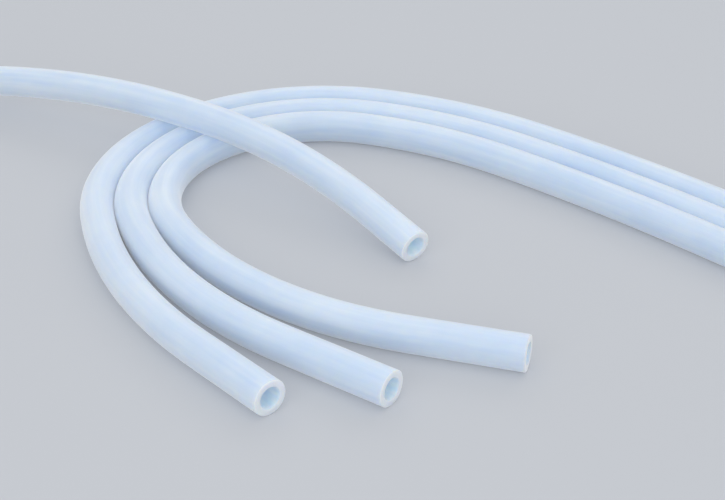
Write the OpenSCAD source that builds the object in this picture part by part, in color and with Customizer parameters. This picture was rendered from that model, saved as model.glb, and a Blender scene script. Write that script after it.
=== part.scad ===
// A loose coil of soft silicone tubing, lying on the plane z = 0.
// Three cut lengths nest side by side in one flat bend, and a fourth is laid across the top of them.
// Every tube is a chain of straight runs and round bends, hollow from end to end and cut off square.

/* [Tubing] */
// Outside diameter of the tubing
tube_od = 10; // [8:0.5:14]
// Thickness of the tubing's wall
tube_wall = 2; // [1:0.1:2.5]
// Clear gap between tubes that lie against each other
lay_gap = 0.2; // [0.1:0.05:0.5]

/* [Nested bend] */
// Place of the bend's common centre, from left to right
bend_x = 0.5; // [-20:0.5:20]
// Place of the bend's common centre, from front to back
bend_y = 11.5; // [-20:0.5:20]
// Direction in which the tubes come into the bend, in degrees from +X
entry_heading = 161; // [150:1:175]
// Centreline radius of the inner tube in the bend
bend_radius = 47; // [40:1:60]
// Straight run between one bend and the next
ease_run = 3; // [2:0.5:8]

/* [Back leg] */
// Centreline radius of the inner tube at the shoulder, between the leg and the bend
shoulder_radius = 125; // [90:5:180]
// Angle turned at the shoulder
shoulder_angle = 20.5; // [10:0.5:30]
// Centreline radius of the inner tube along the slack leg
leg_radius = 620; // [400:10:900]
// Angle turned along the leg
leg_angle = 6.5; // [3:0.5:9]
// Straight length at the far ends of the nested tubes
far_run = 25; // [15:1:60]

/* [Front legs] */
// Angle for which the outer tube follows the bend, before it springs away
outer_hold = 122; // [105:1:130]
// Further angle for which the middle tube follows the bend
middle_hold = 5; // [2:1:12]
// Further angle for which the inner tube follows the bend, past the middle one
inner_hold = 9; // [2:1:12]
// Centreline radius of the outer tube's front leg
outer_leg_radius = 150; // [130:5:190]
// How much tighter the middle tube's front leg curls than a parallel run would
middle_curl = 16; // [4:1:24]
// How much tighter the inner tube's front leg curls than a parallel run would
inner_curl = 6.5; // [2:0.5:16]
// Angle turned by the outer tube's front leg
outer_leg_angle = 29; // [15:1:40]
// Angle turned by the middle tube's front leg
middle_leg_angle = 36; // [20:1:45]
// Angle turned by the inner tube's front leg
inner_leg_angle = 46.5; // [30:0.5:55]
// Straight length at the outer tube's front end
outer_front_run = 30; // [15:1:50]
// Straight length at the middle tube's front end
middle_front_run = 35; // [15:1:50]
// Straight length at the inner tube's front end
inner_front_run = 32; // [15:1:50]

/* [Crossing tube] */
// Bearing from the bend's centre at which it rides over the middle tube, in degrees from +X
crossing_bearing = 140.5; // [130:0.5:150]
// Angle between its heading there and the way to the bend's centre
crossing_skew = 6; // [0:0.5:12]
// Lean of the plane that it curves in, up from the flat
crossing_lean = 30; // [20:1:45]
// Straight run on top of the hump
crest_run = 4; // [2:0.5:10]
// Centreline radius from the crest to its front end
crossing_front_radius = 225; // [180:5:300]
// Centreline radius from the crest to its rear end
crossing_rear_radius = 285; // [220:5:360]
// Straight length at both its ends
crossing_end_run = 20; // [12:1:30]

/* [Hidden] */

// Milky white of unpigmented silicone
silicone = [0.84, 0.89, 0.95];
// Length by which each bend laps into the straight runs at its ends
seam_lap = 0.5;
// Height of the step at each lap, where the bend is that much slimmer than the run
seam_step = 0.06;
$fa = 2;
$fs = 0.6;

tube_id = tube_od - 2 * tube_wall;
pitch = tube_od + lay_gap;

// Sizes of the front legs, each tied to its outer neighbour, so that the ends fan out and never cross
middle_bend_angle = outer_hold + middle_hold;
inner_bend_angle = middle_bend_angle + inner_hold;
middle_leg_radius = outer_leg_radius - pitch - middle_curl;
inner_leg_radius = middle_leg_radius - pitch - inner_curl;

// Height of the crest: the crossing tube clears the tubes on both sides of the middle one
crest_sag = max(fall(crossing_front_radius), fall(crossing_rear_radius));
crest_height = tube_od + lay_gap + tube_od / 2 + crest_sag;

// How far a bend in the leaning plane has come down where it passes over the next tube
function fall(radius) =
    radius * (1 - cos(asin((pitch - crest_run / 2) / radius))) * sin(crossing_lean);

// Turn that brings a bend, and the straight end after it, from the crest down to the floor
function landing_turn(radius) =
    let (drop = (crest_height - tube_od / 2) / sin(crossing_lean))
    let (reach = norm([radius, crossing_end_run]))
    atan2(radius, crossing_end_run) + asin((drop - radius) / reach);

// Ring-shaped section of the tube, with its wall made thinner by inset on both faces
module section(inset) {
    difference() {
        circle(d = tube_od - 2 * inset);
        circle(d = tube_id + 2 * inset);
    }
}

// Straight tube from the origin along +X
module run(length) {
    rotate([0, 90, 0])
        linear_extrude(height = length)
            section(0);
}

// Bend from the origin, heading along +X and turning towards +Y, lapped at both ends
module bend(radius, turn) {
    lap = seam_lap / radius * 180 / PI;
    translate([0, radius, 0])
        rotate(-90 - lap)
            rotate_extrude(angle = turn + 2 * lap)
                translate([radius, 0])
                    section(seam_step);
}

// Bends laid end to end, where each row is a radius, a turn and the straight run after them
module bends(rows, i = 0) {
    if (i < len(rows)) {
        radius = rows[i][0];
        turn = rows[i][1];
        length = rows[i][2];
        bend(radius, turn);
        translate([radius * sin(turn), radius * (1 - cos(turn)), 0])
            rotate(turn) {
                run(length);
                translate([length, 0, 0])
                    bends(rows, i + 1);
            }
    }
}

// One tube, laid both ways from a straight run in its middle
module tube(middle_run, ahead, behind) {
    color(silicone)
        union() {
            run(middle_run);
            translate([middle_run, 0, 0])
                bends(ahead);
            mirror([1, 0, 0])
                bends(behind);
        }
}

// A tube of the nest, where place 0 is the innermost
module nested_tube(place, bend_angle, front_radius, front_angle, front_run) {
    out = place * pitch;
    translate([bend_x, bend_y, tube_od / 2])
        rotate(entry_heading)
            translate([-ease_run, -bend_radius - out, 0])
                tube(
                    ease_run,
                    [
                        [bend_radius + out, bend_angle, ease_run],
                        [front_radius, front_angle, front_run]
                    ],
                    [
                        [shoulder_radius + out, shoulder_angle, ease_run],
                        [leg_radius + out, leg_angle, far_run]
                    ]
                );
}

module outer_tube() {
    nested_tube(2, outer_hold, outer_leg_radius, outer_leg_angle, outer_front_run);
}

module middle_tube() {
    nested_tube(1, middle_bend_angle, middle_leg_radius, middle_leg_angle, middle_front_run);
}

module inner_tube() {
    nested_tube(0, inner_bend_angle, inner_leg_radius, inner_leg_angle, inner_front_run);
}

// The tube on top, humped over the nest, with both ends down on the floor
module crossing_tube() {
    front_turn = landing_turn(crossing_front_radius);
    rear_turn = landing_turn(crossing_rear_radius);
    translate([bend_x, bend_y, crest_height])
        rotate(crossing_bearing)
            translate([bend_radius + pitch, 0, 0])
                rotate(180 + crossing_skew)
                    rotate([180 + crossing_lean, 0, 0])
                        translate([-crest_run / 2, 0, 0])
                            tube(
                                crest_run,
                                [[crossing_front_radius, front_turn, crossing_end_run]],
                                [[crossing_rear_radius, rear_turn, crossing_end_run]]
                            );
}

outer_tube();
middle_tube();
inner_tube();
crossing_tube();
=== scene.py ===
"""A loose coil of milky silicone tubing: three lengths nested in a flat bend, and one laid across."""

import bisect
import math

import bpy
from mathutils import Matrix, Vector


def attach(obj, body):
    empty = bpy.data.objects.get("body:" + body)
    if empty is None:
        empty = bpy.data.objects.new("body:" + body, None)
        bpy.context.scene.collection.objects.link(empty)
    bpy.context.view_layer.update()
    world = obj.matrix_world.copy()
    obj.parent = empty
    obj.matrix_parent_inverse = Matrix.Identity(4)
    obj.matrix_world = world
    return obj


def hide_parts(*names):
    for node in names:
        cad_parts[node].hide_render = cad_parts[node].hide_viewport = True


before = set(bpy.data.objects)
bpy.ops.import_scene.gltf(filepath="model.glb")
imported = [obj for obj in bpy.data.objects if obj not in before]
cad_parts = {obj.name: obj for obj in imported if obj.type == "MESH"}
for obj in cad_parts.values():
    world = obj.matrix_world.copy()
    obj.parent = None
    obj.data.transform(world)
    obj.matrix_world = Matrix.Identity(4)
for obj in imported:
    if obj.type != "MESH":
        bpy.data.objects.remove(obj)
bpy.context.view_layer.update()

MM = 0.001

# Tubing, in millimetres and degrees as in the part's source
TUBE_OD = 10.0
TUBE_ID = 6.0
LAY_GAP = 0.2
PITCH = TUBE_OD + LAY_GAP
# Spacing of the nested strands, which touch here but for a hair
HAIR = 0.02
TOUCHING_PITCH = TUBE_OD + HAIR

# Nested bend and back leg
BEND_X = 0.5
BEND_Y = 11.5
ENTRY_HEADING = 161.0
BEND_RADIUS = 47.0
EASE_RUN = 3.0
SHOULDER_RADIUS = 125.0
SHOULDER_ANGLE = 20.5
LEG_RADIUS = 620.0
LEG_ANGLE = 6.5
FAR_RUN = 25.0

# Front legs, each tied to its outer neighbour
OUTER_HOLD = 122.0
MIDDLE_HOLD = 5.0
INNER_HOLD = 9.0
OUTER_LEG_RADIUS = 150.0
MIDDLE_CURL = 16.0
INNER_CURL = 6.5
OUTER_LEG_ANGLE = 29.0
MIDDLE_LEG_ANGLE = 36.0
INNER_LEG_ANGLE = 46.5
OUTER_FRONT_RUN = 30.0
MIDDLE_FRONT_RUN = 35.0
INNER_FRONT_RUN = 32.0
MIDDLE_BEND_ANGLE = OUTER_HOLD + MIDDLE_HOLD
INNER_BEND_ANGLE = MIDDLE_BEND_ANGLE + INNER_HOLD
MIDDLE_LEG_RADIUS = OUTER_LEG_RADIUS - PITCH - MIDDLE_CURL
INNER_LEG_RADIUS = MIDDLE_LEG_RADIUS - PITCH - INNER_CURL

# Crossing tube
CROSSING_BEARING = 140.5
CROSSING_SKEW = 6.0
CROSSING_LEAN = 30.0
CREST_RUN = 4.0
CROSSING_FRONT_RADIUS = 225.0
CROSSING_REAR_RADIUS = 285.0
CROSSING_END_RUN = 20.0

# Centrelines: distance between points, fewest points on a stretch, and passes that ease them
POINT_STEP = 1.0
FEWEST_POINTS = 2
EASING_PASSES = 24

# Mesh of the tubes, with the radius of the softened edges at the cuts
SIDES = 56
RING_STEP = 1.6
OUTER_EDGE = 0.42
BORE_EDGE = 0.3
EDGE_ROWS = 5
# Zones of a tube's surface, each with a material of its own
SKIN, CUT, BORE = 0, 1, 2
ALONG_MAP = "along"

# Milky silicone
SKIN_PALE, SKIN_DEEP = (0.70, 0.79, 0.89, 1.0), (0.58, 0.70, 0.86, 1.0)
CUT_PALE, CUT_DEEP = (0.86, 0.90, 0.95, 1.0), (0.77, 0.84, 0.93, 1.0)
# The bore is painted paler and bluer than the skin, as painted light: the glow that comes through the
# milky wall into the bore, whose inner wall is otherwise in shade.
BORE_GLOW_PALE, BORE_GLOW_DEEP = (0.74, 0.87, 1.0, 1.0), (0.64, 0.80, 0.99, 1.0)
STREAK_DETAIL = 3.0
CLOUD_SCALE = 55.0
CLOUD_DETAIL = 4.0
CLOUD_SHARE = 0.45
DEEP_BELOW, PALE_ABOVE = 0.36, 0.64
SMOOTHER, ROUGHER = 0.06, 0.08
STREAK_RELIEF = 0.2 * MM
SILICONE_IOR = 1.41
SCATTER_COLOURS = (1.0, 0.8, 0.6)
SCATTER_DEPTH = 4.0 * MM
SHEEN_ROUGHNESS = 0.5

# Studio, in metres
CAMERA_PLACE = (0.01319, -0.41899, 0.23376)
CAMERA_TILT = 60.0
CAMERA_LENS = 80.0
CAMERA_SENSOR = 36.0
FLOOR_REACH = 3.0
FLOOR_COLOUR = (0.58, 0.59, 0.61, 1.0)
FLOOR_ROUGHNESS = 0.95
FILL_COLOUR = (0.9, 0.94, 1.0, 1.0)
FILL_STRENGTH = 0.6


def turned(angle, axis):
    return Matrix.Rotation(math.radians(angle), 4, axis)


def moved(x, y, z):
    return Matrix.Translation((x, y, z))


def on_bend(radius, angle):
    """Place after an angle, in radians, along a bend that starts along +X and turns towards +Y."""
    return Vector((radius * math.sin(angle), radius * (1 - math.cos(angle)), 0.0))


def walk(rows):
    """Points along bends and the straight runs after them, from the origin along +X."""
    points = []
    here = Matrix.Identity(4)
    for radius, turn, run in rows:
        angle = math.radians(turn)
        count = max(FEWEST_POINTS, round(angle * radius / POINT_STEP))
        for i in range(1, count + 1):
            points.append(here @ on_bend(radius, angle * i / count))
        here = here @ moved(*on_bend(radius, angle)) @ turned(turn, "Z")
        count = max(FEWEST_POINTS, round(run / POINT_STEP))
        for i in range(1, count + 1):
            points.append(here @ Vector((run * i / count, 0.0, 0.0)))
        here = here @ moved(run, 0.0, 0.0)
    return points


def route(middle_run, ahead, behind, place):
    """Centreline from the far end to the front end, laid both ways from a straight middle."""
    middle = [Vector((0.0, 0.0, 0.0)), Vector((middle_run, 0.0, 0.0))]
    forward = [p + middle[1] for p in walk(ahead)]
    backward = [Vector((-p.x, p.y, p.z)) for p in walk(behind)]
    return [place @ p for p in backward[::-1] + middle + forward]


def eased(line):
    """The same line with its changes of curve softened, as a springy tube softens them."""
    for _ in range(EASING_PASSES):
        inner = [(a + 2.0 * b + c) / 4.0 for a, b, c in zip(line, line[1:], line[2:])]
        line = [line[0]] + inner + [line[-1]]
    return line


def nested_route(place, bend_angle, front_radius, front_angle, front_run):
    """Centreline of a tube of the nest, where place 0 is the innermost."""
    out = place * TOUCHING_PITCH
    start = (
        moved(BEND_X, BEND_Y, TUBE_OD / 2)
        @ turned(ENTRY_HEADING, "Z")
        @ moved(-EASE_RUN, -BEND_RADIUS - out, 0.0)
    )
    ahead = [(BEND_RADIUS + out, bend_angle, EASE_RUN), (front_radius, front_angle, front_run)]
    behind = [(SHOULDER_RADIUS + out, SHOULDER_ANGLE, EASE_RUN), (LEG_RADIUS + out, LEG_ANGLE, FAR_RUN)]
    return route(EASE_RUN, ahead, behind, start)


def crest_fall(radius):
    """How far a bend in the leaning plane has come down where it passes over the next tube."""
    turn = math.asin((PITCH - CREST_RUN / 2) / radius)
    return radius * (1 - math.cos(turn)) * math.sin(math.radians(CROSSING_LEAN))


def landing_turn(radius, crest_height):
    """Turn that brings a bend, and the straight end after it, from the crest down to the floor."""
    drop = (crest_height - TUBE_OD / 2) / math.sin(math.radians(CROSSING_LEAN))
    reach = math.hypot(radius, CROSSING_END_RUN)
    return math.degrees(math.atan2(radius, CROSSING_END_RUN) + math.asin((drop - radius) / reach))


def crossing_route():
    """Centreline of the tube on top, humped over the nest, with both ends down on the floor."""
    sag = max(crest_fall(CROSSING_FRONT_RADIUS), crest_fall(CROSSING_REAR_RADIUS))
    crest_height = PITCH + TUBE_OD / 2 + sag
    start = (
        moved(BEND_X, BEND_Y, crest_height)
        @ turned(CROSSING_BEARING, "Z")
        @ moved(BEND_RADIUS + PITCH, 0.0, 0.0)
        @ turned(180.0 + CROSSING_SKEW, "Z")
        @ turned(180.0 + CROSSING_LEAN, "X")
        @ moved(-CREST_RUN / 2, 0.0, 0.0)
    )
    front_turn = landing_turn(CROSSING_FRONT_RADIUS, crest_height)
    rear_turn = landing_turn(CROSSING_REAR_RADIUS, crest_height)
    ahead = [(CROSSING_FRONT_RADIUS, front_turn, CROSSING_END_RUN)]
    behind = [(CROSSING_REAR_RADIUS, rear_turn, CROSSING_END_RUN)]
    return route(CREST_RUN, ahead, behind, start)


class Line:
    """A centreline that gives its place and its directions at any length along it."""

    def __init__(self, points):
        self.points = points
        self.at = [0.0]
        for a, b in zip(points, points[1:]):
            self.at.append(self.at[-1] + (b - a).length)
        self.length = self.at[-1]
        self.tangents = self._tangents()
        self.sides = self._sides()

    def _tangents(self):
        p = self.points
        middle = [(c - a).normalized() for a, c in zip(p, p[2:])]
        return [(p[1] - p[0]).normalized()] + middle + [(p[-1] - p[-2]).normalized()]

    def _sides(self):
        """Sideways directions that follow the line without twisting round it."""
        up = Vector((0.0, 0.0, 1.0))
        side = up.cross(self.tangents[0]).normalized()
        sides = [side]
        for before, after in zip(self.tangents, self.tangents[1:]):
            side = before.rotation_difference(after) @ side
            side = (side - after * side.dot(after)).normalized()
            sides.append(side)
        return sides

    def frame(self, length):
        """Place, sideways and crossways directions at a length along the line."""
        high = min(max(bisect.bisect_right(self.at, length), 1), len(self.at) - 1)
        low = high - 1
        share = (length - self.at[low]) / (self.at[high] - self.at[low])
        point = self.points[low].lerp(self.points[high], share)
        tangent = self.tangents[low].lerp(self.tangents[high], share).normalized()
        side = self.sides[low].lerp(self.sides[high], share)
        side = (side - tangent * side.dot(tangent)).normalized()
        return point, side, tangent.cross(side)


def straight(start, end, radius, zone):
    """Even rows along a straight face of the section, between two corners."""
    count = round(abs(end - start) / RING_STEP)
    return [(start + (end - start) * i / count, radius, zone) for i in range(1, count)]


def corner(along, radius, edge, start, before, after):
    """Rows of a rounded corner of the section, with the zones on both sides of its middle."""
    rows = []
    for i in range(EDGE_ROWS + 1):
        angle = math.radians(start - 90.0 * i / EDGE_ROWS)
        zone = before if i < EDGE_ROWS // 2 else after
        rows.append((along + edge * math.cos(angle), radius + edge * math.sin(angle), zone))
    return rows


def profile(length):
    """Rows round the tube's whole section: length along it, radius, and the zone that starts there."""
    outer, bore = TUBE_OD / 2, TUBE_ID / 2
    far_skin, far_bore = length - OUTER_EDGE, length - BORE_EDGE
    skin_corner, bore_corner = outer - OUTER_EDGE, bore + BORE_EDGE
    mid_wall = (outer + bore) / 2
    rows = straight(OUTER_EDGE, far_skin, outer, SKIN)
    rows += corner(far_skin, skin_corner, OUTER_EDGE, 90.0, SKIN, CUT)
    rows.append((length, mid_wall, CUT))
    rows += corner(far_bore, bore_corner, BORE_EDGE, 0.0, CUT, BORE)
    rows += straight(far_bore, BORE_EDGE, bore, BORE)
    rows += corner(BORE_EDGE, bore_corner, BORE_EDGE, -90.0, BORE, CUT)
    rows.append((0.0, mid_wall, CUT))
    rows += corner(OUTER_EDGE, skin_corner, OUTER_EDGE, 180.0, CUT, SKIN)
    return rows


def around(step):
    """Angle round the tube, in radians, at one of its sides."""
    return 2 * math.pi * step / SIDES


def tube_points(line, rows):
    """The rings of the tube's skin, one for each row of its section."""
    points = []
    for length, radius, _ in rows:
        place, side, over = line.frame(length)
        for j in range(SIDES):
            out = side * math.cos(around(j)) + over * math.sin(around(j))
            points.append((place + out * radius) * MM)
    return points


def tube_faces(rows):
    """Faces between the rings, the zone of each, and its map of length along and angle round the tube."""
    faces, zones, corners = [], [], []
    for i, (length, _, zone) in enumerate(rows):
        k = (i + 1) % len(rows)
        u0, u1 = length / TUBE_OD, rows[k][0] / TUBE_OD
        for j in range(SIDES):
            n = (j + 1) % SIDES
            v0, v1 = around(j), around(j + 1)
            faces.append((i * SIDES + j, i * SIDES + n, k * SIDES + n, k * SIDES + j))
            zones.append(zone)
            corners += [u0, v0, u0, v1, u1, v1, u1, v0]
    return faces, zones, corners


def tube_piece(name, line, materials):
    """A hollow tube with softened square ends, made as one closed skin along the line."""
    rows = profile(line.length)
    faces, zones, corners = tube_faces(rows)
    mesh = bpy.data.meshes.new(name)
    mesh.from_pydata(tube_points(line, rows), [], faces)
    for material in materials:
        mesh.materials.append(material)
    mesh.polygons.foreach_set("material_index", zones)
    mesh.polygons.foreach_set("use_smooth", [True] * len(faces))
    mesh.uv_layers.new(name=ALONG_MAP).data.foreach_set("uv", corners)
    mesh.update()
    piece = bpy.data.objects.new(name, mesh)
    bpy.context.scene.collection.objects.link(piece)
    return piece


def new_material(name):
    material = bpy.data.materials.new(name)
    material.use_nodes = True
    return material, material.node_tree.nodes["Principled BSDF"]


def set_inputs(node, values):
    for socket, value in values.items():
        node.inputs[socket].default_value = value


def ring_coordinates(nodes, links):
    """Length along the tube, and the angle round it as a circle, so that no seam shows."""
    along = nodes.new("ShaderNodeUVMap")
    along.uv_map = ALONG_MAP
    split = nodes.new("ShaderNodeSeparateXYZ")
    links.new(along.outputs["UV"], split.inputs["Vector"])
    ring = nodes.new("ShaderNodeCombineXYZ")
    links.new(split.outputs["X"], ring.inputs["X"])
    for axis, operation in (("Y", "COSINE"), ("Z", "SINE")):
        wave = nodes.new("ShaderNodeMath")
        wave.operation = operation
        links.new(split.outputs["Y"], wave.inputs[0])
        links.new(wave.outputs["Value"], ring.inputs[axis])
    return ring.outputs["Vector"]


def silicone(name, pale, deep, roughness, streak_scale, bump):
    """Milky silicone: clouded colour, faint lines along the tube, and a soft sheen at the edges."""
    material, shader = new_material(name)
    nodes, links = material.node_tree.nodes, material.node_tree.links

    # Streaks along the tube and clouds in it
    stretch = nodes.new("ShaderNodeMapping")
    set_inputs(stretch, {"Scale": streak_scale})
    links.new(ring_coordinates(nodes, links), stretch.inputs["Vector"])
    streaks = nodes.new("ShaderNodeTexNoise")
    set_inputs(streaks, {"Scale": 1.0, "Detail": STREAK_DETAIL})
    links.new(stretch.outputs["Vector"], streaks.inputs["Vector"])
    place = nodes.new("ShaderNodeTexCoord")
    clouds = nodes.new("ShaderNodeTexNoise")
    set_inputs(clouds, {"Scale": CLOUD_SCALE, "Detail": CLOUD_DETAIL})
    links.new(place.outputs["Object"], clouds.inputs["Vector"])
    both = nodes.new("ShaderNodeMix")
    set_inputs(both, {"Factor": CLOUD_SHARE})
    links.new(streaks.outputs["Fac"], both.inputs["A"])
    links.new(clouds.outputs["Fac"], both.inputs["B"])

    # Colour, roughness and relief from them
    tint = nodes.new("ShaderNodeValToRGB")
    low, high = tint.color_ramp.elements
    low.position, low.color = DEEP_BELOW, deep
    high.position, high.color = PALE_ABOVE, pale
    links.new(both.outputs["Result"], tint.inputs["Fac"])
    links.new(tint.outputs["Color"], shader.inputs["Base Color"])
    gloss = nodes.new("ShaderNodeMapRange")
    set_inputs(gloss, {"To Min": roughness - SMOOTHER, "To Max": roughness + ROUGHER})
    links.new(both.outputs["Result"], gloss.inputs["Value"])
    links.new(gloss.outputs["Result"], shader.inputs["Roughness"])
    relief = nodes.new("ShaderNodeBump")
    set_inputs(relief, {"Strength": bump, "Distance": STREAK_RELIEF})
    links.new(streaks.outputs["Fac"], relief.inputs["Height"])
    links.new(relief.outputs["Normal"], shader.inputs["Normal"])

    # Light that scatters in the wall, and a sheen that whitens the edges
    set_inputs(shader, {
        "IOR": SILICONE_IOR,
        "Subsurface Weight": 1.0,
        "Subsurface Radius": SCATTER_COLOURS,
        "Subsurface Scale": SCATTER_DEPTH,
        "Sheen Weight": 1.0,
        "Sheen Roughness": SHEEN_ROUGHNESS,
    })
    return material


def lamp(name, place, size, power, shadow):
    """A soft white lamp that faces the origin."""
    data = bpy.data.lights.new(name, "AREA")
    data.shape = "RECTANGLE"
    data.size, data.size_y = size
    data.energy = power
    data.use_shadow = shadow
    light = bpy.data.objects.new(name, data)
    light.location = place
    light.rotation_euler = (-Vector(place)).to_track_quat("-Z", "Y").to_euler()
    bpy.context.scene.collection.objects.link(light)


# Camera at the photograph's angle
camera_data = bpy.data.cameras.new("camera")
camera_data.sensor_fit = "HORIZONTAL"
camera_data.sensor_width = CAMERA_SENSOR
camera_data.lens = CAMERA_LENS
camera = bpy.data.objects.new("camera", camera_data)
camera.location = CAMERA_PLACE
camera.rotation_euler = (math.radians(CAMERA_TILT), 0.0, 0.0)
bpy.context.scene.collection.objects.link(camera)
bpy.context.scene.camera = camera

# Materials
skin = silicone(
    "silicone_skin", SKIN_PALE, SKIN_DEEP, roughness=0.34, streak_scale=(0.2, 2.6, 2.6), bump=0.12
)
cut = silicone(
    "silicone_cut", CUT_PALE, CUT_DEEP, roughness=0.45, streak_scale=(9.0, 1.5, 1.5), bump=0.3
)
# Paler, bluer copy of the silicone for the bore: painted light, the glow through the wall into the
# otherwise shaded bore.
bore = silicone(
    "silicone_bore_painted_glow", BORE_GLOW_PALE, BORE_GLOW_DEEP, roughness=0.4, streak_scale=(0.3, 2.2, 2.2), bump=0.1
)

# Tubes
routes = {
    "outer_tube": nested_route(2, OUTER_HOLD, OUTER_LEG_RADIUS, OUTER_LEG_ANGLE, OUTER_FRONT_RUN),
    "middle_tube": nested_route(
        1, MIDDLE_BEND_ANGLE, MIDDLE_LEG_RADIUS, MIDDLE_LEG_ANGLE, MIDDLE_FRONT_RUN
    ),
    "inner_tube": nested_route(
        0, INNER_BEND_ANGLE, INNER_LEG_RADIUS, INNER_LEG_ANGLE, INNER_FRONT_RUN
    ),
    "crossing_tube": crossing_route(),
}
for node, points in routes.items():
    line = Line(eased(points))
    piece = tube_piece("silicone_" + node, line, (skin, cut, bore))
    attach(piece, "root")
    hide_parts(node)

# Floor
floor_corners = [(-1, -1), (1, -1), (1, 1), (-1, 1)]
floor_mesh = bpy.data.meshes.new("floor")
floor_mesh.from_pydata(
    [(x * FLOOR_REACH, y * FLOOR_REACH, 0.0) for x, y in floor_corners], [], [(0, 1, 2, 3)]
)
floor = bpy.data.objects.new("floor", floor_mesh)
bpy.context.scene.collection.objects.link(floor)
floor_material, floor_shader = new_material("floor_paint")
set_inputs(floor_shader, {"Base Color": FLOOR_COLOUR, "Roughness": FLOOR_ROUGHNESS})
floor_mesh.materials.append(floor_material)

# Soft studio light, where the lamp overhead stands for what shines through the milky walls
lamp("front", place=(-0.15, -0.9, 0.5), size=(1.4, 0.8), power=3.4, shadow=True)
lamp("back", place=(0.2, 0.8, 0.6), size=(1.2, 0.5), power=1.4, shadow=True)
lamp("top", place=(0.0, 0.05, 0.9), size=(0.9, 0.9), power=2.6, shadow=False)
world = bpy.data.worlds.new("studio")
world.use_nodes = True
set_inputs(world.node_tree.nodes["Background"], {"Color": FILL_COLOUR, "Strength": FILL_STRENGTH})
bpy.context.scene.world = world
bpy.context.scene.view_settings.view_transform = "Standard"
